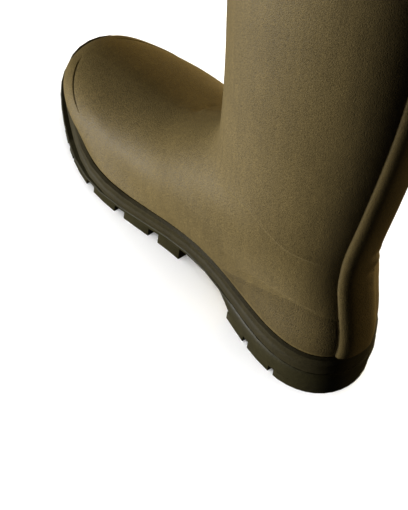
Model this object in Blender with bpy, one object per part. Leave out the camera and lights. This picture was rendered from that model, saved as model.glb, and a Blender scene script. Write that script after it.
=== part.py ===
"""Tall rubber boot for the left foot, standing empty on its sole.

The upper is one hollow moulding lofted through a table of rings, from the
feather edge at the sole to the collar. The rand, strip, guard and counters are
cut from the same surface. Sizes are millimetres with x forward from the back of
the heel, y to the left (the outer side) and z up from the floor.
"""
import math

import bmesh
import bpy
import numpy as np

# Overall sizes
MM = 0.001
SOLE_LENGTH = 302.0
WALL = 2.6
GAP = 0.3
TURNS = 56
TURN_CROWDING = 0.05

# Top of the outsole along the boot: heel height, arch and toe spring
SOLE_LINE = dict(x=(0, 70, 130, 185, 225, 262, 302), z=(23.5, 23.5, 19, 12.5, 10.5, 13.5, 24))
# Underside of the outsole's web, between the lugs
WEB_LINE = dict(x=(0, 88, 95, 115, 140, 165, 225, 262, 302), z=(5, 5, 17, 15.5, 12, 7.5, 5, 7.5, 17))
# Lowest line of the tread: flat under heel and ball, lifted at the toe
TREAD_LINE = dict(x=(0, 250, 270, 302), z=(0, 0, 1.5, 10))
# Sideways sweep of the foot's middle line, toward the outer side
SWEEP = dict(x=(0, 60, 135, 215, 275, 302), y=(0, 0, 2.2, -1.2, -3, -3.5))

# Half widths are given at these angles round a ring, from the heel to the toe
STATION_DEG = (0, 52, 84, 116, 146, 180)
RING_COLUMNS = ("drape", "sweep", "back_x", "back_z", "front_x", "front_z", "heel_round", "heel", "waist",
                "ball", "toe", "toe_round", "inner_ball", "inner_toe", "inner_round")
# Over the vamp the inner side is the fuller one, round the end of the toe the outer side is
FOOT_RINGS = {
    "feather":    (1.0, 1.0, 5.5, 0.3, 296.5, 0.3, 32, 33.5, 28.5, 47, 31, 38, 47, 31, 38),
    "rand top":   (1.0, 1.0, 3.2, 17, 297, 12, 33, 35.0, 31.5, 48.5, 32, 38, 48.5, 32, 38),
    "bulge":      (0.5, 0.9, 2.0, 38, 296, 26, 34, 36.0, 35.5, 47, 39, 46, 50, 35, 36),
    "toe cap":    (0.0, 0.8, 2.2, 58, 288, 45, 34, 36.0, 38.0, 44, 34, 30, 48, 30, 18),
    "toe top":    (0.0, 0.7, 3.5, 68, 260, 56, 33.5, 35.5, 39.5, 41, 28, 17, 48, 30, 14),
    "vamp":       (0.0, 0.5, 6.0, 79, 223, 69, 33, 35.5, 40.5, 41, 25, 14, 44, 30, 14),
    "low instep": (0.0, 0.3, 9.0, 92, 194, 81, 33, 35.5, 41.0, 43, 28, 20, 43, 30, 14),
    "instep":     (0.0, 0.1, 12, 105, 175, 95, 33, 35.5, 42.0, 43, 31, 42, 43, 30, 14),
    "throat":     (0.0, 0.0, 13, 121, 157, 115, 33, 36.0, 44.0, 43, 29, 48, 43, 30, 18),
}
SHAFT_COLUMNS = ("back_x", "back_z", "front_x", "front_z", "half_width")
SHAFT_RINGS = {
    "ankle":      (12, 140, 139.5, 138, 45.5),
    "low shaft":  (8, 168, 136.5, 168, 47),
    "calf start": (1, 220, 136.5, 219, 51),
    "calf":       (-6.5, 285, 139.5, 284, 57),
    "upper calf": (-10, 345, 143, 345, 60.5),
    "collar":     (-10, 412, 146, 412, 62.5),
}
# The outsole's top edge as one more ring
SOLE_EDGE = (1.0, 1.0, 0.0, 0.0, SOLE_LENGTH, 0.0, 36, 39, 33.0, 53, 37, 42, 53, 37, 42)

# Rings that are really meshed, as steps through the tables above
OUTER_STEPS = (0, 0.5, 1, 1.5, 2, 2.5, 3, 3.5, 4, 4.5, 5, 5.5, 6, 6.5, 7, 7.5, 8,
               8.5, 9, 9.5, 10, 10.6, 11.3, 12, 13, 14)
INNER_STEPS = (0, 0.5, 1, 1.5, 2, 2.5, 3, 3.5, 4, 5, 6, 6.5, 7, 7.5, 8, 8.5, 9, 10, 11, 12, 13, 14)

# Rand profile: step up the upper's wall, and how far it stands off that wall
RAND_PROFILE = dict(step=(0.0, 0.5, 1.0, 1.03, 0.95, 0.66, 0.58, 0.50, 0.28, 0.0),
                    off=(GAP, GAP, GAP, 1.3, 2.5, 3.3, 2.7, 3.5, 4.0, 4.2))
# Insole: a loose slab inside the foot
INSOLE_THICK = 4.0
INSOLE_TOP_STEP = 0.18

# Raised strip down the back, and the low guard and counters
STRIP_STEPS = (1.16, 1.5, 2, 2.5, 3, 3.5, 4, 4.5, 5, 5.5, 6, 6.5, 7, 7.5, 8, 8.5, 9, 9.5,
               10, 10.6, 11.3, 12, 13, 13.9)
STRIP_HALF = 14.5
STRIP_SECTION = dict(share=(-1, -0.85, -0.45, 0, 0.45, 0.85, 1),
                     proud=(0.6, 1.9, 3.6, 4.0, 3.6, 1.9, 0.6))
GUARD_REACH = 9
GUARD_TOP = dict(middle=3.0, end=2.6)
COUNTER_TOP = dict(x=(6, 20, 34, 56, 77, 100), step=(5.1, 5.45, 5.65, 5.4, 4.3, 1.6))
COUNTER_FIRST = 3
COUNTER_LAST = 11
COUNTER_SPACING = 0.5
COUNTER_RING = 3
COUNTER_CLEAR = 0.6
PATCH_PROUD = dict(share=(0, 0.2, 0.4, 0.6, 0.78, 0.92, 1), proud=(1, 1, 1, 1, 1, 1, 0.5))
PATCH_LIFT = 1.16
PATCH_GAP = 0.6

# Outsole edge: share of the web's thickness below the top, and inset of the wall
SOLE_WALL = dict(share=(0.0, 0.12, 0.5, 0.85, 1.0), inset=(0.8, 0.0, 0.6, 1.4, 2.4))
LUG_INSET = 1.9
LUG_ROOT = 2.2
SIDE_LUG_COLUMNS = ("x", "length", "reach", "point")
SIDE_LUGS = {
    "ball front": (232, 20, 15, 7),
    "ball":       (204, 20, 17, 8),
    "ball back":  (176, 20, 15, 8),
    "arch":       (149, 18, 11, 6),
    "heel front": (76, 20, 15, 7),
    "heel":       (50, 21, 13, 7),
}
CENTRE_LUG_COLUMNS = ("x", "length", "width")
CENTRE_LUGS = {
    "ball front": (219, 22, 34),
    "ball":       (190, 22, 34),
    "ball back":  (163, 20, 28),
}
# Curved bars across the toe: middle x of the back and front edge, and bow
BAR_COLUMNS = ("back_x", "front_x", "bow")
BARS = {
    "toe back":   (249, 256, 5),
    "toe middle": (262, 271, 6),
}
TOE_PIECE = dict(back_x=277, bow=7, turn_deg=149)
HEEL_PIECE = dict(front_x=30, bow=-5, turn_deg=36)
BAR_POINTS = 17
END_TAPER = 0.97
RIB_X = (106, 115, 124)
RIB_WIDTH = 4.0
RIB_DROP = 2.0
RIB_EDGE = 6.0
RIB_INNER = 6.0
PAD = dict(x=115, length=30, width=20, drop=1.2, sides=16)

FINISHES = {
    "olive_rubber": dict(colour=(0.125, 0.094, 0.042), roughness=0.75),
    "dark_rubber": dict(colour=(0.030, 0.028, 0.016), roughness=0.6),
    "tread_rubber": dict(colour=(0.016, 0.017, 0.012), roughness=0.55),
    "insole_felt": dict(colour=(0.060, 0.056, 0.048), roughness=0.95),
}
SHARP_DEG = 40


def spline(knots, values, at, level_ends=False):
    """Cubic spline through a table; the ends are free, or level."""
    knots = np.asarray(knots, float)
    values = np.asarray(values, float)
    at = np.asarray(at, float)
    count = len(knots)
    width = np.diff(knots)
    slope = (np.diff(values, axis=0).T / width).T
    system = np.zeros((count, count))
    right = np.zeros(values.shape)
    for i in range(1, count - 1):
        system[i, i - 1:i + 2] = width[i - 1], 2 * (width[i - 1] + width[i]), width[i]
        right[i] = 6 * (slope[i] - slope[i - 1])
    if level_ends:
        system[0, :2] = 2 * width[0], width[0]
        system[-1, -2:] = width[-1], 2 * width[-1]
        right[0] = 6 * slope[0]
        right[-1] = -6 * slope[-1]
    else:
        system[0, 0] = system[-1, -1] = 1
    bend = np.linalg.solve(system, right)
    cell = np.clip(np.searchsorted(knots, at, side="right") - 1, 0, count - 2)
    low = (knots[cell + 1] - at) / width[cell]
    high = 1 - low
    if values.ndim > 1:
        low, high, width_here = low[:, None], high[:, None], width[cell][:, None]
    else:
        width_here = width[cell]
    curve = (low ** 3 - low) * bend[cell] + (high ** 3 - high) * bend[cell + 1]
    return low * values[cell] + high * values[cell + 1] + curve * width_here ** 2 / 6


def ring_table():
    """All rings as rows of RING_COLUMNS; a shaft ring is a plain oval."""
    table = [list(row) for row in FOOT_RINGS.values()]
    for row in SHAFT_RINGS.values():
        size = dict(zip(SHAFT_COLUMNS, row))
        oval = size["half_width"]
        end_round = 2 * oval * oval / (size["front_x"] - size["back_x"])
        widths = [oval * math.sin(math.radians(deg)) for deg in STATION_DEG[1:-1]]
        table.append([0, 0, *row[:4], end_round, *widths, end_round, *widths[2:], end_round])
    return np.array(table, float)


RINGS = ring_table()


def sole_line(x):
    return spline(SOLE_LINE["x"], SOLE_LINE["z"], x)


def web_line(x):
    return np.interp(x, WEB_LINE["x"], WEB_LINE["z"])


def tread_line(x):
    return np.interp(x, TREAD_LINE["x"], TREAD_LINE["z"])


def side_reach(size, half, front_names, fold):
    """Reach of one side of a ring from its middle line, at angles from the heel to the toe."""
    ball, toe, front_round = (size[name] for name in front_names)
    reach = [math.sqrt(size["heel_round"] * half)]
    for wide, deg in zip((size["heel"], size["waist"], ball, toe), STATION_DEG[1:-1]):
        reach.append(wide / math.sin(math.radians(deg)))
    reach.append(math.sqrt(front_round * half))
    return spline(np.radians(STATION_DEG), reach, fold, level_ends=True)


def ring_points(row, turns):
    """Points of one ring; turn 0 is the heel, pi the toe, then back on the inner side."""
    size = dict(zip(RING_COLUMNS, row))
    half = (size["front_x"] - size["back_x"]) / 2
    turns = np.asarray(turns, float) % (2 * math.pi)
    fold = np.minimum(turns, 2 * math.pi - turns)
    outer = side_reach(size, half, ("ball", "toe", "toe_round"), fold)
    inner = side_reach(size, half, ("inner_ball", "inner_toe", "inner_round"), fold)
    along = (1 - np.cos(fold)) / 2
    x = size["back_x"] + 2 * half * along
    foot_x = np.clip(x, 0, SOLE_LENGTH)
    sweep = size["sweep"] * spline(SWEEP["x"], SWEEP["y"], foot_x)
    y = np.where(turns > math.pi, -inner, outer) * np.sin(fold) + sweep
    rise = size["back_z"] + (size["front_z"] - size["back_z"]) * along
    return np.stack([x, y, rise + size["drape"] * sole_line(foot_x)], axis=1)


def even_turns():
    """Turns round a ring, a little closer together at heel and toe."""
    even = np.arange(TURNS) * 2 * math.pi / TURNS
    return even - TURN_CROWDING * np.sin(2 * even)


def wall_points(steps, turns, off):
    """Points on the upper's outer surface, moved off along its normal."""
    steps, turns, off = np.broadcast_arrays(np.asarray(steps, float), turns, off)
    small = 0.01

    def surface(step, turn):
        rows = spline(np.arange(len(RINGS)), RINGS, np.clip(step, 0, len(RINGS) - 1))
        return np.array([ring_points(row, [one])[0] for row, one in zip(rows, turn)])

    up = surface(steps + small, turns) - surface(steps - small, turns)
    around = surface(steps, turns + small) - surface(steps, turns - small)
    normal = np.cross(up, around)
    normal /= np.linalg.norm(normal, axis=1)[:, None]
    return surface(steps, turns) + normal * off[:, None]


def turn_at(steps, y):
    """Turn at which the wall near the heel is y off the middle, at each step."""
    rows = spline(np.arange(len(RINGS)), RINGS, steps)
    size = dict(zip(RING_COLUMNS, rows.T))
    reach = np.sqrt(size["heel_round"] * (size["front_x"] - size["back_x"]) / 2)
    return np.arcsin(y / reach)


def settle(ring):
    """Set a ring down just clear of the outsole."""
    ring[:, 2] = sole_line(np.clip(ring[:, 0], 0, SOLE_LENGTH)) + GAP


def inset(ring, distance):
    """A plan outline moved inward by one distance; heights stay."""
    along = np.roll(ring, -1, axis=0) - np.roll(ring, 1, axis=0)
    outward = np.stack([-along[:, 1], along[:, 0], np.zeros(len(ring))], axis=1)
    outward /= np.linalg.norm(outward, axis=1)[:, None]
    return ring - outward * distance


def finish(name):
    """The material for one of the finishes named above."""
    made = bpy.data.materials.new(name)
    made.use_nodes = True
    shader = made.node_tree.nodes["Principled BSDF"]
    shader.inputs["Base Color"].default_value = (*FINISHES[name]["colour"], 1)
    shader.inputs["Roughness"].default_value = FINISHES[name]["roughness"]
    shader.inputs["Metallic"].default_value = 0
    return made


def solid(name, points, faces, material=None):
    """One named closed body from millimetre points, centred over the floor's middle."""
    back = SHAFT_RINGS["collar"][0] - PATCH_GAP - max(STRIP_SECTION["proud"])
    middle = np.array([(back + SOLE_LENGTH) / 2, 0, 0])
    mesh = bpy.data.meshes.new(name)
    mesh.from_pydata(((np.asarray(points) - middle) * MM).tolist(), [], faces)
    shape = bmesh.new()
    shape.from_mesh(mesh)
    bmesh.ops.recalc_face_normals(shape, faces=shape.faces)
    shape.to_mesh(mesh)
    shape.free()
    body = bpy.data.objects.new(name, mesh)
    bpy.context.scene.collection.objects.link(body)
    if material:
        mesh.materials.append(material)
        mesh.shade_smooth()
        mesh.set_sharp_from_angle(angle=math.radians(SHARP_DEG))
    return body


def loft_faces(rows, columns, closed):
    """Quads between rows of points that each run round a closed ring."""
    faces = []
    for row in range(rows if closed else rows - 1):
        after = (row + 1) % rows
        for column in range(columns):
            beside = (column + 1) % columns
            faces.append((row * columns + column, row * columns + beside,
                          after * columns + beside, after * columns + column))
    return faces


def outline_cap(first, count):
    """Strips across an outline that has one point at the heel and one at the toe."""
    half = count // 2
    faces = [(first, first + 1, first + count - 1)]
    for i in range(1, half - 1):
        faces.append((first + i, first + i + 1, first + count - i - 1, first + count - i))
    faces.append((first + half - 1, first + half, first + half + 1))
    return faces


def patch_cap(first, count):
    """Strips across a thin section whose outer points are followed by its inner ones."""
    return [(first + i, first + i + 1, first + count - i - 2, first + count - i - 1)
            for i in range(count // 2 - 1)]


def patch(name, sections, material):
    """A thin overlay lofted through sections, closed at both ends."""
    rows, columns = len(sections), len(sections[0])
    faces = loft_faces(rows, columns, closed=False)
    faces += patch_cap(0, columns) + patch_cap((rows - 1) * columns, columns)
    return solid(name, np.concatenate(sections), faces, material)


def prism(name, plan, top, bottom):
    """An upright lug from a plan polygon."""
    count = len(plan)
    points = [(x, y, bottom) for x, y in plan] + [(x, y, top) for x, y in plan]
    faces = loft_faces(2, count, closed=False)
    faces += [tuple(range(count)), tuple(range(count, 2 * count))]
    return solid(name, points, faces)


def edge_y(x, hand):
    """Where the outsole's edge runs at x, on the outer (1) or inner (-1) side."""
    turn = math.acos(1 - 2 * x / SOLE_LENGTH)
    return ring_points(SOLE_EDGE, [hand * turn])[0][1]


def bar(name, back, front):
    """A curved tread bar between two plan edges, following the tread line."""
    sections = []
    for (back_x, back_y), (front_x, front_y) in zip(back, front):
        roof = web_line((back_x + front_x) / 2) + LUG_ROOT
        sections.append(np.array([(back_x, back_y, tread_line(back_x)),
                                  (front_x, front_y, tread_line(front_x)),
                                  (front_x, front_y, roof), (back_x, back_y, roof)]))
    return patch(name, sections, None)


def bowed_edge(x, bow):
    """Plan points of a curved edge that runs from one sole edge to the other."""
    edge = []
    for share in np.linspace(-1, 1, BAR_POINTS):
        here = x - bow * share * share
        reach = abs(edge_y(here, math.copysign(1, share))) - LUG_INSET
        edge.append((here, share * reach))
    return edge


def low_patch(name, columns, tops, material):
    """A thin ply from just above the rand up to its own top line."""
    sections = []
    for column, top in zip(columns, tops):
        levels = PATCH_LIFT + (top - PATCH_LIFT) * np.array(PATCH_PROUD["share"])
        here = column(levels)
        outside = wall_points(levels, here, PATCH_GAP + np.array(PATCH_PROUD["proud"]))
        inside = wall_points(levels, here, PATCH_GAP)
        sections.append(np.concatenate([outside, inside[::-1]]))
    return patch(name, sections, material)


def at_turn(turn):
    """A column of a ply that keeps one turn at every level."""
    return lambda levels: np.full(len(levels), turn)


# Clear the scene
for old in list(bpy.data.objects):
    bpy.data.objects.remove(old, do_unlink=True)

olive = finish("olive_rubber")
dark = finish("dark_rubber")
tread = finish("tread_rubber")
felt = finish("insole_felt")
turns = even_turns()

# Upper: outer skin up to the collar, then the inner skin back down
rings = [wall_points(np.full(TURNS, step), turns, 0.0) for step in OUTER_STEPS]
rings += [wall_points(np.full(TURNS, step), turns, -WALL) for step in reversed(INNER_STEPS)]
settle(rings[0])
settle(rings[-1])
solid("upper", np.concatenate(rings), loft_faces(len(rings), TURNS, closed=True), olive)

# Rand: the band moulded round the foot above the outsole
rings = [wall_points(np.full(TURNS, step), turns, off)
         for step, off in zip(RAND_PROFILE["step"], RAND_PROFILE["off"])]
settle(rings[0])
settle(rings[-1])
solid("rand", np.concatenate(rings), loft_faces(len(rings), TURNS, closed=True), dark)

# Insole: fills the foot's floor inside the wall
clear = -(WALL + GAP)
under = wall_points(np.zeros(TURNS), turns, clear)
settle(under)
over = wall_points(np.full(TURNS, INSOLE_TOP_STEP), turns, clear)
settle(over)
over[:, 2] += INSOLE_THICK
faces = loft_faces(2, TURNS, closed=False) + outline_cap(0, TURNS) + outline_cap(TURNS, TURNS)
solid("insole", np.concatenate([under, over]), faces, felt)

# Back strip: the raised cover over the seam down the back
shares = np.array(STRIP_SECTION["share"])
sections = []
for step in STRIP_STEPS:
    level = np.full(len(shares), step)
    here = turn_at(level, shares * STRIP_HALF)
    outside = wall_points(level, here, PATCH_GAP + np.array(STRIP_SECTION["proud"]))
    inside = wall_points(level, here, PATCH_GAP)
    sections.append(np.concatenate([outside, inside[::-1]]))
patch("back_strip", sections, olive)

# Toe guard: a second ply over the toe
toe = TURNS // 2
columns = [at_turn(turn) for turn in turns[toe - GUARD_REACH:toe + GUARD_REACH + 1]]
share = np.linspace(-1, 1, len(columns))
tops = GUARD_TOP["middle"] + (GUARD_TOP["end"] - GUARD_TOP["middle"]) * share ** 2
low_patch("toe_guard", columns, tops, olive)

# Heel counters: a second ply each side of the heel, from the strip to the arch
for name, hand in (("heel_counter_outer", 1), ("heel_counter_inner", -1)):
    beside = hand * (STRIP_HALF + COUNTER_CLEAR)
    columns = [lambda levels, y=beside: turn_at(levels, y)]
    places = np.arange(COUNTER_FIRST, COUNTER_LAST + COUNTER_SPACING, COUNTER_SPACING)
    spots = np.interp(places, np.arange(TURNS), turns)
    columns += [at_turn(hand * turn) for turn in spots]
    x = ring_points(RINGS[COUNTER_RING], spots)[:, 0]
    tops = spline(COUNTER_TOP["x"], COUNTER_TOP["step"], np.append(COUNTER_TOP["x"][0], x))
    low_patch(name, columns, tops, olive)

# Outsole web: top under the rand, drafted wall, arched underside
edge = ring_points(SOLE_EDGE, turns)
thick = edge[:, 2] - web_line(edge[:, 0])
rings = []
for share, into in zip(SOLE_WALL["share"], SOLE_WALL["inset"]):
    ring = inset(edge, into)
    ring[:, 2] = edge[:, 2] - share * thick
    rings.append(ring)
count = len(rings) * TURNS
faces = loft_faces(len(rings), TURNS, closed=False)
faces += outline_cap(0, TURNS) + outline_cap(count - TURNS, TURNS)
outsole = solid("outsole", np.concatenate(rings), faces, tread)

# Tread: pointed lugs along both edges
lugs = []
for row in SIDE_LUGS.values():
    size = dict(zip(SIDE_LUG_COLUMNS, row))
    for hand in (1, -1):
        ends = [size["x"] - size["length"] / 2, size["x"], size["x"] + size["length"] / 2]
        rim = [edge_y(x, hand) - hand * LUG_INSET for x in ends]
        inner = min(abs(y) for y in rim) - size["reach"]
        plan = list(zip(ends, rim))
        point = hand * (inner - size["point"])
        plan += [(ends[2], hand * inner), (ends[1], point), (ends[0], hand * inner)]
        lugs.append(prism("lug", plan, web_line(size["x"]) + LUG_ROOT, tread_line(size["x"])))

# Tread: six-sided lugs down the middle
for row in CENTRE_LUGS.values():
    size = dict(zip(CENTRE_LUG_COLUMNS, row))
    x, long, wide = size["x"], size["length"] / 2, size["width"] / 2
    plan = [(x - long, -wide / 2), (x - long, wide / 2), (x, wide),
            (x + long, wide / 2), (x + long, -wide / 2), (x, -wide)]
    lugs.append(prism("lug", plan, web_line(x) + LUG_ROOT, tread_line(x)))

# Tread: curved bars and end pieces at toe and heel
for row in BARS.values():
    size = dict(zip(BAR_COLUMNS, row))
    lugs.append(bar("lug", bowed_edge(size["back_x"], size["bow"]),
                    bowed_edge(size["front_x"], size["bow"])))
reach = math.radians(TOE_PIECE["turn_deg"])
tip = ring_points(SOLE_EDGE, np.linspace(2 * math.pi - reach, reach, BAR_POINTS))
tip = [(x - LUG_INSET, y * END_TAPER) for x, y, z in tip]
lugs.append(bar("lug", bowed_edge(TOE_PIECE["back_x"], TOE_PIECE["bow"]), tip))
reach = math.radians(HEEL_PIECE["turn_deg"])
tail = ring_points(SOLE_EDGE, np.linspace(-reach, reach, BAR_POINTS))
tail = [(x + LUG_INSET, y * END_TAPER) for x, y, z in tail]
lugs.append(bar("lug", tail, bowed_edge(HEEL_PIECE["front_x"], HEEL_PIECE["bow"])))

# Tread: ribs and a plain pad under the arch
for x in RIB_X:
    for hand in (1, -1):
        far = edge_y(x, hand) - hand * RIB_EDGE
        near = hand * (PAD["width"] / 2 + RIB_INNER)
        plan = [(x - RIB_WIDTH / 2, far), (x + RIB_WIDTH / 2, far),
                (x + RIB_WIDTH / 2, near), (x - RIB_WIDTH / 2, near)]
        lugs.append(prism("lug", plan, web_line(x) + LUG_ROOT, web_line(x) - RIB_DROP))
angles = np.linspace(0, 2 * math.pi, PAD["sides"], endpoint=False)
plan = [(PAD["x"] + PAD["length"] / 2 * math.cos(a), PAD["width"] / 2 * math.sin(a)) for a in angles]
lugs.append(prism("lug", plan, web_line(PAD["x"]) + LUG_ROOT, web_line(PAD["x"]) - PAD["drop"]))

# Join the tread to the web
for lug in lugs:
    join = outsole.modifiers.new("lug", "BOOLEAN")
    join.operation = "UNION"
    join.solver = "EXACT"
    join.object = lug
    lug.hide_render = True
    lug.display_type = "WIRE"
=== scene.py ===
import math

import bmesh
import bpy
import numpy as np
from mathutils import Matrix, Vector
from mathutils.bvhtree import BVHTree


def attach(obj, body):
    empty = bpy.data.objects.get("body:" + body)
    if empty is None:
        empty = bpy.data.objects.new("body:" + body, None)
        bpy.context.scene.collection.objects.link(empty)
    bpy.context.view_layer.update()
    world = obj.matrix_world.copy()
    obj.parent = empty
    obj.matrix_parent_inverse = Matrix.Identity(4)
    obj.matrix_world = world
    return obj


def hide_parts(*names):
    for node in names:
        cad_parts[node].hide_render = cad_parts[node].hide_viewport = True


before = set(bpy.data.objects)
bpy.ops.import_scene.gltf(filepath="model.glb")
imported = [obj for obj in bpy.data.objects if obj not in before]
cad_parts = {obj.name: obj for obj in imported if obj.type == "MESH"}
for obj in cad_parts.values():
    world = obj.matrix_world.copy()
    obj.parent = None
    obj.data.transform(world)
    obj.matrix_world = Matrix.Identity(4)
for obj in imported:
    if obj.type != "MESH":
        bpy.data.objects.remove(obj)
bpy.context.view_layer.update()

# Upper
# The real upper is one skin of olive rubber about 2.6 mm thick, foot and shaft together, cured on
# a last, with a knitted lining bonded to its inside. Sizes are millimetres, with x from the back
# of the heel, y to the outer side and z up from the floor.
PER_METRE = 1000
HEEL_TO_MIDDLE = 143.7
UPPER_ROUNDS = 2
MERGE_WITHIN = 2e-6
QUAD_ANGLE = math.radians(70)
# Ply edges that show through the skin: a line in x and z, the rise of its step, and how that fades
LINE_COLUMNS = ("x", "z", "rise", "fade")
LINES = {
    "ankle ply": ((20, 33, 42, 50, 60, 67, 80, 95, 110),
                  (129, 132.5, 134.5, 139.5, 145, 147.5, 146, 139, 128), 0.9, 14),
    "counter edge": ((16, 22, 33, 44, 56, 66, 77, 88),
                     (83, 84.5, 86, 85, 82, 76.5, 68, 54), 1.0, 12),
}
LINE_EDGE = 1.0
LINE_BAND = 6
LINE_CUTS = 2
LINE_FROM = 14
LINE_TO = 112
LINE_START_FADE = 16
LINE_END_FADE = 30
STRIP_CLEAR = 16
STRIP_FADE = 10
# Half width of the painted highlight laid along each ply edge
HIGHLIGHT_HALF_WIDTH = 0.9
# Folds pressed in and rolls raised: a path over the skin, a height and a half width
CREASE_COLUMNS = ("path", "height", "half_width")
CREASES = {
    "throat fold": (((181, 2, 90), (180, -4.5, 90.5), (179, -8, 90.5), (178.5, -17.5, 87.5)), -1.1, 4.5),
    "throat roll": (((173, 3, 97), (172, -5, 98), (171, -15, 96)), 0.8, 5.0),
    "heel cord fold": (((34, -34, 127), (20, -24, 129), (14, -12, 131), (12, 0, 132)), -1.8, 3.5),
    "heel cord roll": (((34, -34, 119), (20, -24, 121), (15, -12, 122), (14, 0, 123)), 1.2, 4.0),
    "heel fold": (((34, -34, 111), (22, -24, 112), (15, -12, 113), (13, 0, 113)), -1.2, 3.0),
}
CREASE_END = 0.3
# The hollow's middle line, along the foot and then up the shaft
HOLLOW_FROM = 42
HOLLOW_TO = 240
HOLLOW_HEIGHT = 45
SHAFT_FROM = 120
SHAFT_MIDDLE = 70


def millimetres(skin):
    """Points of a skin as rows of x, y, z in millimetres, x from the back of the heel."""
    points = np.array([corner.co[:] for corner in skin.verts]) * PER_METRE
    points[:, 0] += HEEL_TO_MIDDLE
    return points


def merged_copy(node):
    """A part's own mesh with its loose triangles joined into a skin of quads."""
    skin = bmesh.new()
    skin.from_mesh(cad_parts[node].data)
    bmesh.ops.remove_doubles(skin, verts=skin.verts, dist=MERGE_WITHIN)
    bmesh.ops.join_triangles(skin, faces=skin.faces, angle_face_threshold=QUAD_ANGLE,
                             angle_shape_threshold=QUAD_ANGLE)
    return skin


def rounded(skin, rounds):
    """The same skin after some rounds of smooth subdivision."""
    mesh = bpy.data.meshes.new("rounding")
    skin.to_mesh(mesh)
    skin.free()
    body = bpy.data.objects.new("rounding", mesh)
    bpy.context.scene.collection.objects.link(body)
    finer = body.modifiers.new("finer", "SUBSURF")
    finer.levels = finer.render_levels = rounds
    smooth = bmesh.new()
    smooth.from_mesh(body.evaluated_get(bpy.context.evaluated_depsgraph_get()).to_mesh())
    bpy.data.objects.remove(body)
    bpy.data.meshes.remove(mesh)
    return smooth


def near_path(points, path):
    """Each point's distance from a path, and its share of the way along it."""
    path = np.array(path, float)
    lengths = np.linalg.norm(np.diff(path, axis=0), axis=1)
    starts = np.concatenate([[0], np.cumsum(lengths)])
    nearest = np.full(len(points), np.inf)
    share = np.zeros(len(points))
    for first, last, start, length in zip(path[:-1], path[1:], starts, lengths):
        way = np.clip((points - first) @ (last - first) / length ** 2, 0, 1)
        gap = np.linalg.norm(points - first - way[:, None] * (last - first), axis=1)
        closer = gap < nearest
        nearest[closer] = gap[closer]
        share[closer] = (start + way[closer] * length) / starts[-1]
    return nearest, share


def above_line(points, line):
    """Height of each point above a line given in x and z."""
    return points[:, 2] - np.interp(points[:, 0], line["x"], line["z"])


def soft_step(value):
    """A smooth rise from 0 to 1 as value goes from 0 to 1."""
    value = np.clip(value, 0, 1)
    return value * value * (3 - 2 * value)


def push(skin, amounts):
    """Move each point of a skin along its normal by its own amount in millimetres."""
    skin.normal_update()
    for corner, amount in zip(skin.verts, amounts):
        corner.co += corner.normal * (amount / PER_METRE)


def faces_outward(points, normals):
    """True where a wall's normal points away from the boot's hollow."""
    middle = np.zeros(points.shape)
    middle[:, 0] = np.clip(points[:, 0], HOLLOW_FROM, HOLLOW_TO)
    middle[:, 2] = HOLLOW_HEIGHT
    shaft = points[:, 2] > SHAFT_FROM
    middle[shaft, 0] = SHAFT_MIDDLE
    middle[shaft, 2] = points[shaft, 2]
    return ((points - middle) * normals).sum(axis=1) > 0


def finished(name, skin, materials, node):
    """The finished piece: its object, its finish and the solid that it stands for."""
    mesh = bpy.data.meshes.new(name)
    skin.to_mesh(mesh)
    skin.free()
    mesh.shade_smooth()
    for material in materials:
        mesh.materials.append(material)
    piece = bpy.data.objects.new(name, mesh)
    bpy.context.scene.collection.objects.link(piece)
    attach(piece, "root")
    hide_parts(node)
    return piece


NOISE_COLUMNS = ("scale", "detail")
NOISES = {"Mottle": (1150, 1), "Patch": (16, 2), "Streak": (260, 2)}
STREAK_STRETCH = (1, 1, 0.03)


def grain_group():
    """Fine pebbled grain, soft mottling, broad patches and upright streaks of moulded rubber."""
    group = bpy.data.node_groups.new("rubber grain", "ShaderNodeTree")
    group.interface.new_socket("Pebbles per metre", in_out="INPUT", socket_type="NodeSocketFloat")
    for made in ("Pebble", *NOISES):
        group.interface.new_socket(made, in_out="OUTPUT", socket_type="NodeSocketFloat")
    nodes, links = group.nodes, group.links
    given = nodes.new("NodeGroupInput")
    result = nodes.new("NodeGroupOutput")
    where = nodes.new("ShaderNodeTexCoord").outputs["Object"]
    pebble = nodes.new("ShaderNodeTexVoronoi")
    pebble.feature = "SMOOTH_F1"
    links.new(given.outputs["Pebbles per metre"], pebble.inputs["Scale"])
    links.new(where, pebble.inputs["Vector"])
    links.new(pebble.outputs["Distance"], result.inputs["Pebble"])
    stretch = nodes.new("ShaderNodeMapping")
    stretch.inputs["Scale"].default_value = STREAK_STRETCH
    links.new(where, stretch.inputs["Vector"])
    for made, row in NOISES.items():
        size = dict(zip(NOISE_COLUMNS, row))
        noise = nodes.new("ShaderNodeTexNoise")
        noise.inputs["Scale"].default_value = size["scale"]
        noise.inputs["Detail"].default_value = size["detail"]
        links.new(stretch.outputs["Vector"] if made == "Streak" else where, noise.inputs["Vector"])
        links.new(noise.outputs["Fac"], result.inputs[made])
    return group


RUBBER_GRAIN = grain_group()


def ramp(tree, source, stops):
    """A ramp over a value between two stops, each a place with a colour or a grey."""
    node = tree.nodes.new("ShaderNodeValToRGB")
    for point, (position, colour) in zip(node.color_ramp.elements, stops):
        point.position = position
        point.color = (*colour, 1) if isinstance(colour, tuple) else (colour, colour, colour, 1)
    tree.links.new(source, node.inputs["Fac"])
    return node.outputs["Color"]


# Places of the colour sockets on a mix node
MIX_AMOUNT = 0
MIX_FIRST = 6
MIX_SECOND = 7
MIX_RESULT = 2


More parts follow.
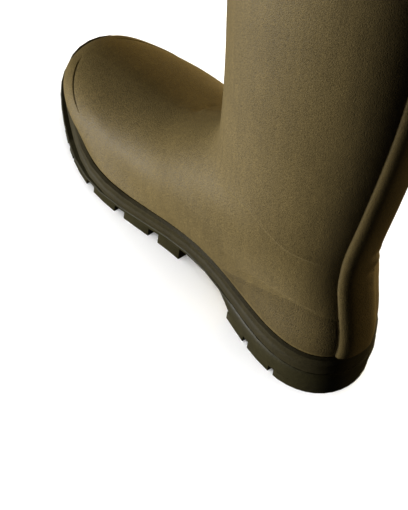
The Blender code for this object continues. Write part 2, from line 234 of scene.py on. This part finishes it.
def blend(tree, mode, amount, first, second):
    """Two colours mixed by a blend mode; amount and colours may be links or values."""
    node = tree.nodes.new("ShaderNodeMix")
    node.data_type = "RGBA"
    node.blend_type = mode
    for number, given in ((MIX_AMOUNT, amount), (MIX_FIRST, first), (MIX_SECOND, second)):
        socket = node.inputs[number]
        if isinstance(given, bpy.types.NodeSocket):
            tree.links.new(given, socket)
        elif isinstance(given, tuple):
            socket.default_value = (*given, 1)
        else:
            socket.default_value = given
    return node.outputs[MIX_RESULT]


# Colour screened onto the rubber along the ply edges: a painted highlight
HIGHLIGHT_TINT = (0.085, 0.066, 0.034)
PATCH_PLACES = (0.3, 0.7)
MOTTLE_SHADES = ((0.3, 0.72), (0.7, 1.25))
STREAK_SHADES = ((0.3, 0.92), (0.7, 1.07))
# Pebble distances over which the low ground between pebbles is darkened: painted shade
PIT_SHADE_PLACES = (0.25, 0.75)
ROUGH_PLACES = (0.25, 0.75)
ROUGH_SWING = 0.12
PEBBLE_HEIGHT = 0.0005


def rubber(name, dark, light, pebbles, bump, pit_shade, roughness, gloss):
    """Moulded rubber: mottled between two colours, speckled, with painted shade in the pits of its grain
    and a painted highlight along the ply edges.
    """
    made = bpy.data.materials.new(name)
    made.use_nodes = True
    tree = made.node_tree
    shader = tree.nodes["Principled BSDF"]
    grain = tree.nodes.new("ShaderNodeGroup")
    grain.node_tree = RUBBER_GRAIN
    grain.inputs["Pebbles per metre"].default_value = pebbles
    colour = ramp(tree, grain.outputs["Patch"], zip(PATCH_PLACES, (dark, light)))
    # Mottle and streaks vary the tone; the pebble ramp darkens the pits between pebbles as painted shade
    for shade in (ramp(tree, grain.outputs["Mottle"], MOTTLE_SHADES),
                  ramp(tree, grain.outputs["Streak"], STREAK_SHADES),
                  ramp(tree, grain.outputs["Pebble"], zip(PIT_SHADE_PLACES, (1.0, 1 - pit_shade)))):
        colour = blend(tree, "MULTIPLY", 1.0, colour, shade)
    # A painted highlight lightens the colour along the ply edges, where a per-point attribute of the
    # upper marks them
    highlight_attribute = tree.nodes.new("ShaderNodeAttribute")
    highlight_attribute.attribute_name = "ply_edge_highlight"
    colour = blend(tree, "SCREEN", highlight_attribute.outputs["Fac"], colour, HIGHLIGHT_TINT)
    tree.links.new(colour, shader.inputs["Base Color"])
    rough = zip(ROUGH_PLACES, (roughness - ROUGH_SWING, roughness + ROUGH_SWING))
    tree.links.new(ramp(tree, grain.outputs["Mottle"], rough), shader.inputs["Roughness"])
    height = tree.nodes.new("ShaderNodeBump")
    height.inputs["Strength"].default_value = bump
    height.inputs["Distance"].default_value = PEBBLE_HEIGHT
    height.invert = True
    tree.links.new(grain.outputs["Pebble"], height.inputs["Height"])
    tree.links.new(height.outputs["Normal"], shader.inputs["Normal"])
    shader.inputs["Specular IOR Level"].default_value = gloss
    return made


def textile(name, threads, texture, colours, bump, roughness, bands=None):
    """A matte cloth whose one texture gives both its colour and its relief."""
    made = bpy.data.materials.new(name)
    made.use_nodes = True
    tree = made.node_tree
    shader = tree.nodes["Principled BSDF"]
    where = tree.nodes.new("ShaderNodeTexCoord")
    weave = tree.nodes.new(threads)
    if bands:
        weave.bands_direction = bands
    for socket, value in texture.items():
        weave.inputs[socket].default_value = value
    tree.links.new(where.outputs["Object"], weave.inputs["Vector"])
    tree.links.new(ramp(tree, weave.outputs["Fac"], colours), shader.inputs["Base Color"])
    height = tree.nodes.new("ShaderNodeBump")
    for socket, value in bump.items():
        height.inputs[socket].default_value = value
    tree.links.new(weave.outputs["Fac"], height.inputs["Height"])
    tree.links.new(height.outputs["Normal"], shader.inputs["Normal"])
    shader.inputs["Roughness"].default_value = roughness
    return made


OLIVE = rubber("olive rubber", dark=(0.152, 0.107, 0.034), light=(0.182, 0.130, 0.044),
               pebbles=1800, bump=0.45, pit_shade=0.4, roughness=0.6, gloss=0.35)
# The lining's ribs run round the shaft
LINING = textile("lining knit", "ShaderNodeTexWave",
                 texture={"Scale": 160, "Distortion": 1.5, "Detail Scale": 3},
                 colours=((0.2, (0.085, 0.078, 0.064)), (0.8, (0.170, 0.158, 0.132))),
                 bump={"Strength": 0.5, "Distance": 0.0006}, roughness=0.95, bands="Z")

upper_skin = rounded(merged_copy("upper"), UPPER_ROUNDS)
lines = [dict(zip(LINE_COLUMNS, row)) for row in LINES.values()]
points = millimetres(upper_skin)
close = np.zeros(len(points), bool)
for line in lines:
    close |= (abs(above_line(points, line)) < LINE_BAND) & (abs(points[:, 1]) > STRIP_CLEAR)
close &= (points[:, 0] > LINE_FROM) & (points[:, 0] < LINE_TO)
fine_edges = [edge for edge in upper_skin.edges if all(close[corner.index] for corner in edge.verts)]
bmesh.ops.subdivide_edges(upper_skin, edges=fine_edges, cuts=LINE_CUTS, use_grid_fill=True)
upper_skin.verts.index_update()
upper_skin.normal_update()
points = millimetres(upper_skin)
normals = np.array([corner.normal[:] for corner in upper_skin.verts])
outside = faces_outward(points, normals)
amounts = np.zeros(len(points))
ply_edge_highlight = np.zeros(len(points))
for row in CREASES.values():
    fold = dict(zip(CREASE_COLUMNS, row))
    gap, share = near_path(points, fold["path"])
    ends = soft_step(share / CREASE_END) * soft_step((1 - share) / CREASE_END)
    amounts += fold["height"] * ends * np.exp(-(gap / fold["half_width"]) ** 2)
for line in lines:
    above = above_line(points, line)
    ends = soft_step((points[:, 0] - line["x"][0]) / LINE_START_FADE)
    ends *= soft_step((line["x"][-1] - points[:, 0]) / LINE_END_FADE)
    ends *= soft_step((abs(points[:, 1]) - STRIP_CLEAR) / STRIP_FADE)
    ridge = soft_step(above / LINE_EDGE) * np.exp(-np.maximum(above, 0) / line["fade"])
    amounts += line["rise"] * ridge * ends
    # A painted highlight along each ply edge, just above its step
    ply_edge_highlight += np.exp(-((above - LINE_EDGE / 2) / HIGHLIGHT_HALF_WIDTH) ** 2) * ends
push(upper_skin, np.where(outside, amounts, 0))
# The painted highlight is kept on the upper's points for its material to read
highlight_layer = upper_skin.verts.layers.float.new("ply_edge_highlight")
for corner, share in zip(upper_skin.verts, np.where(outside, ply_edge_highlight, 0)):
    corner[highlight_layer] = share
for face in upper_skin.faces:
    face.material_index = 0 if all(outside[corner.index] for corner in face.verts) else 1
UPPER_WALL = BVHTree.FromBMesh(upper_skin)
finished("boot_upper", upper_skin, (OLIVE, LINING), "upper")

# Insole
# A loose slab of pressed grey felt, cut to the shape of the last and laid on the foot's floor
# without glue.
FELT = textile("pressed felt", "ShaderNodeTexNoise",
               texture={"Scale": 900, "Detail": 5, "Distortion": 2},
               colours=((0.3, (0.035, 0.033, 0.029)), (0.7, (0.095, 0.090, 0.078))),
               bump={"Strength": 0.6, "Distance": 0.0008}, roughness=0.97)
insole_skin = merged_copy("insole")
finished("felt_insole", insole_skin, (FELT,), "insole")

# Heel counters and toe guard
# Thin second plies of the same rubber, laid on the last before the upper was cured, so their
# edges melt into it.
# A darker copy of the same olive rubber for the heel counters: its darker colour and darker pits are
# painted shade, its larger pebbles and stronger bump are grain
SHADED_COUNTER_OLIVE = rubber("pitted olive rubber with painted shade", dark=(0.120, 0.084, 0.026), light=(0.146, 0.103, 0.034),
                       pebbles=1600, bump=0.6, pit_shade=0.5, roughness=0.62, gloss=0.3)
PLY_ROUNDS = 2
PLY_GAP = 0.6
PLY_THICK = 1.0
SUNK = 0.3
COUNTER_PROUD = 0.05
GUARD_LEVEL = 0.02
GUARD_PROUD = 0.6
GUARD_CORNER_Y = 12
GUARD_CORNER_FADE = 10
GUARD_BACK_X = 242
GUARD_BACK_FADE = 16


def settle(skin, height):
    """Bed a ply into the upper: its inside sinks in, its outside stands at a given height."""
    points = millimetres(skin)
    for corner, tall in zip(skin.verts, height(points)):
        spot, normal, face, far = UPPER_WALL.find_nearest(corner.co)
        off = (corner.co - spot).dot(normal) * PER_METRE
        share = min(max((off - PLY_GAP) / PLY_THICK, 0), 1)
        corner.co = spot + normal * ((share * (tall + SUNK) - SUNK) / PER_METRE)


def counter_height(points):
    """The counter plies lie almost level with the upper, below the step that marks their edge."""
    return np.full(len(points), COUNTER_PROUD)


def guard_height(points):
    """The toe guard stands proud at both corners of the toe and melts in elsewhere."""
    beside = soft_step((abs(points[:, 1]) - GUARD_CORNER_Y) / GUARD_CORNER_FADE)
    forward = soft_step((points[:, 0] - GUARD_BACK_X) / GUARD_BACK_FADE)
    return GUARD_LEVEL + GUARD_PROUD * beside * forward


for node, height, finish in (("heel_counter_outer", counter_height, SHADED_COUNTER_OLIVE),
                             ("heel_counter_inner", counter_height, SHADED_COUNTER_OLIVE),
                             ("toe_guard", guard_height, OLIVE)):
    ply_skin = rounded(merged_copy(node), PLY_ROUNDS)
    settle(ply_skin, height)
    finished(node + "_ply", ply_skin, (finish,), node)

# Back strip
# A thick strip of rubber laid over the seam down the back, domed across and melted in at its
# edges.
STRIP_HALF = 14.5
STRIP_PROUD = 4.0
STRIP_DOME = 4
STRIP_FACE = 0.4
strip_skin = rounded(merged_copy("back_strip"), PLY_ROUNDS)
for corner, point in zip(strip_skin.verts, millimetres(strip_skin)):
    spot, normal, face, far = UPPER_WALL.find_nearest(corner.co)
    share = min(abs(point[1]) / STRIP_HALF, 1)
    dome = STRIP_PROUD * math.sqrt(1 - share ** STRIP_DOME)
    off = (corner.co - spot).dot(normal) * PER_METRE - PLY_GAP
    corner.co = spot + normal * ((dome if off > STRIP_FACE else -SUNK) / PER_METRE)
finished("seam_strip", strip_skin, (OLIVE,), "back_strip")

# Rand
# A dark rubber band wound round the foot over the upper's lower edge, grooved once along its
# length and pressed on before curing.
DARK = rubber("dark rubber", dark=(0.033, 0.026, 0.009), light=(0.042, 0.034, 0.013),
              pebbles=1500, bump=0.18, pit_shade=0.25, roughness=0.6, gloss=0.2)
RAND_SINK = 0.9
RAND_SHARP = math.radians(25)


def millimetres_of(face):
    """The middle of one face as a row of millimetres, x from the back of the heel."""
    middle = np.array([face.calc_center_median()[:]]) * PER_METRE
    middle[:, 0] += HEEL_TO_MIDDLE
    return middle


rand_skin = merged_copy("rand")
rand_skin.normal_update()
inner = {corner for face in rand_skin.faces for corner in face.verts
         if not faces_outward(millimetres_of(face), np.array([face.normal[:]]))[0]}
for corner in inner:
    spot, normal, face, far = UPPER_WALL.find_nearest(corner.co)
    corner.co -= normal * (RAND_SINK / PER_METRE)
rand = finished("rand_band", rand_skin, (DARK,), "rand")
rand.data.set_sharp_from_angle(angle=RAND_SHARP)

# Outsole
# Moulded from hard dark rubber with its heel, arch and lugs in one piece, and cemented under the
# rand. The mould leaves the lug edges slightly rounded.
TREAD = rubber("tread rubber", dark=(0.030, 0.025, 0.010), light=(0.040, 0.034, 0.012),
               pebbles=1500, bump=0.12, pit_shade=0.2, roughness=0.55, gloss=0.2)
FLAT_ANGLE = math.radians(0.5)
LUG_EDGE = math.radians(40)
LUG_ROUNDING = 0.0006
SOLE_SHARP = math.radians(35)
sole_skin = bmesh.new()
sole_skin.from_mesh(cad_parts["outsole"].data)
bmesh.ops.remove_doubles(sole_skin, verts=sole_skin.verts, dist=MERGE_WITHIN)
bmesh.ops.dissolve_limit(sole_skin, angle_limit=FLAT_ANGLE, verts=sole_skin.verts, edges=sole_skin.edges)
sharp = [edge for edge in sole_skin.edges if edge.is_manifold and edge.calc_face_angle() > LUG_EDGE]
bmesh.ops.bevel(sole_skin, geom=sharp, offset=LUG_ROUNDING, affect="EDGES", segments=1, profile=0.5,
                material=-1, clamp_overlap=True)
sole = finished("lugged_outsole", sole_skin, (TREAD,), "outsole")
sole.data.set_sharp_from_angle(angle=SOLE_SHARP)

# Studio
# A plain pale floor that casts no shadow and reflects nothing onto the boot. The key light stands
# on the outer side, a little below the floor's level. Two weaker warm lights stand on the inner
# side, a small lamp in the shaft shows the lining, and one light reaches the floor alone.
FLOOR_HALF = 6.0
FLOOR_WHITE = (0.93, 0.93, 0.93)
FLOOR_ROUGHNESS = 0.9
WORLD_STRENGTH = 0.008
LIGHT_COLUMNS = ("place", "aim", "size", "watts", "colour", "floor_only")
LIGHTS = {
    "key": ((860, 1390, -60), (110, 0, 90), 0.7, 40, (1.0, 1.0, 0.98), False),
    "front": ((523, -1542, 200), (110, 0, 90), 0.7, 27, (1.0, 0.8, 0.42), False),
    "rim": ((-566, -1450, 200), (110, 0, 90), 0.6, 8, (1.0, 0.8, 0.45), False),
    "shaft": ((68, 0, 404), (68, 0, 0), 0.08, 0.12, (1.0, 0.97, 0.9), False),
    "floor": ((150, 0, 2500), (150, 0, 0), 12.0, 850, (1.0, 1.0, 1.0), True),
}


def place(x, y, z):
    """A point in millimetres from the back of the heel, in the scene's frame."""
    return Vector(((x - HEEL_TO_MIDDLE) / PER_METRE, y / PER_METRE, z / PER_METRE))


floor_skin = bmesh.new()
bmesh.ops.create_grid(floor_skin, x_segments=1, y_segments=1, size=FLOOR_HALF)
floor_mesh = bpy.data.meshes.new("floor")
floor_skin.to_mesh(floor_mesh)
floor_skin.free()
floor = bpy.data.objects.new("floor", floor_mesh)
bpy.context.scene.collection.objects.link(floor)
floor_paint = bpy.data.materials.new("floor white")
floor_paint.use_nodes = True
floor_shader = floor_paint.node_tree.nodes["Principled BSDF"]
floor_shader.inputs["Base Color"].default_value = (*FLOOR_WHITE, 1)
floor_shader.inputs["Roughness"].default_value = FLOOR_ROUGHNESS
floor_mesh.materials.append(floor_paint)
floor.visible_diffuse = False
floor.visible_glossy = False
floor.visible_shadow = False
floor_only = bpy.data.collections.new("floor only")
floor_only.objects.link(floor)
for name, row in LIGHTS.items():
    lamp = dict(zip(LIGHT_COLUMNS, row))
    light = bpy.data.lights.new(name, "AREA")
    light.size = lamp["size"]
    light.energy = lamp["watts"]
    light.color = lamp["colour"]
    holder = bpy.data.objects.new(name, light)
    bpy.context.scene.collection.objects.link(holder)
    holder.location = place(*lamp["place"])
    holder.rotation_euler = (place(*lamp["aim"]) - holder.location).to_track_quat("-Z", "Y").to_euler()
    if lamp["floor_only"]:
        holder.light_linking.receiver_collection = floor_only
world = bpy.data.worlds.new("studio")
bpy.context.scene.world = world
world.use_nodes = True
world.node_tree.nodes["Background"].inputs["Color"].default_value = (1, 1, 1, 1)
world.node_tree.nodes["Background"].inputs["Strength"].default_value = WORLD_STRENGTH
bpy.context.scene.view_settings.view_transform = "Standard"

# Camera
# A long lens behind the heel on the outer side, well above the boot and a little rolled, at the
# photo's angle and framing.
FRAME_HEIGHT = 510
FOCAL_PIXELS = 2707
SENSOR = 36.0
CLIP_END = 50
AZIMUTH = math.radians(42.26)
ELEVATION = math.radians(55.3)
ROLL = math.radians(7.69)
TARGET = (120, 30.1, 26.3)
DISTANCE = 1.733
back = Vector((-math.cos(ELEVATION) * math.cos(AZIMUTH), math.cos(ELEVATION) * math.sin(AZIMUTH),
               math.sin(ELEVATION)))
level = (-back).cross(Vector((0, 0, 1))).normalized()
upright = level.cross(-back)
across = level * math.cos(ROLL) + upright * math.sin(ROLL)
upward = upright * math.cos(ROLL) - level * math.sin(ROLL)
lens = bpy.data.cameras.new("camera")
lens.sensor_width = SENSOR
lens.lens = FOCAL_PIXELS * SENSOR / FRAME_HEIGHT
lens.clip_end = CLIP_END
camera = bpy.data.objects.new("camera", lens)
bpy.context.scene.collection.objects.link(camera)
camera.matrix_world = Matrix.Translation(place(*TARGET) + back * DISTANCE) @ Matrix(
    (across, upward, back)).transposed().to_4x4()
bpy.context.scene.camera = camera
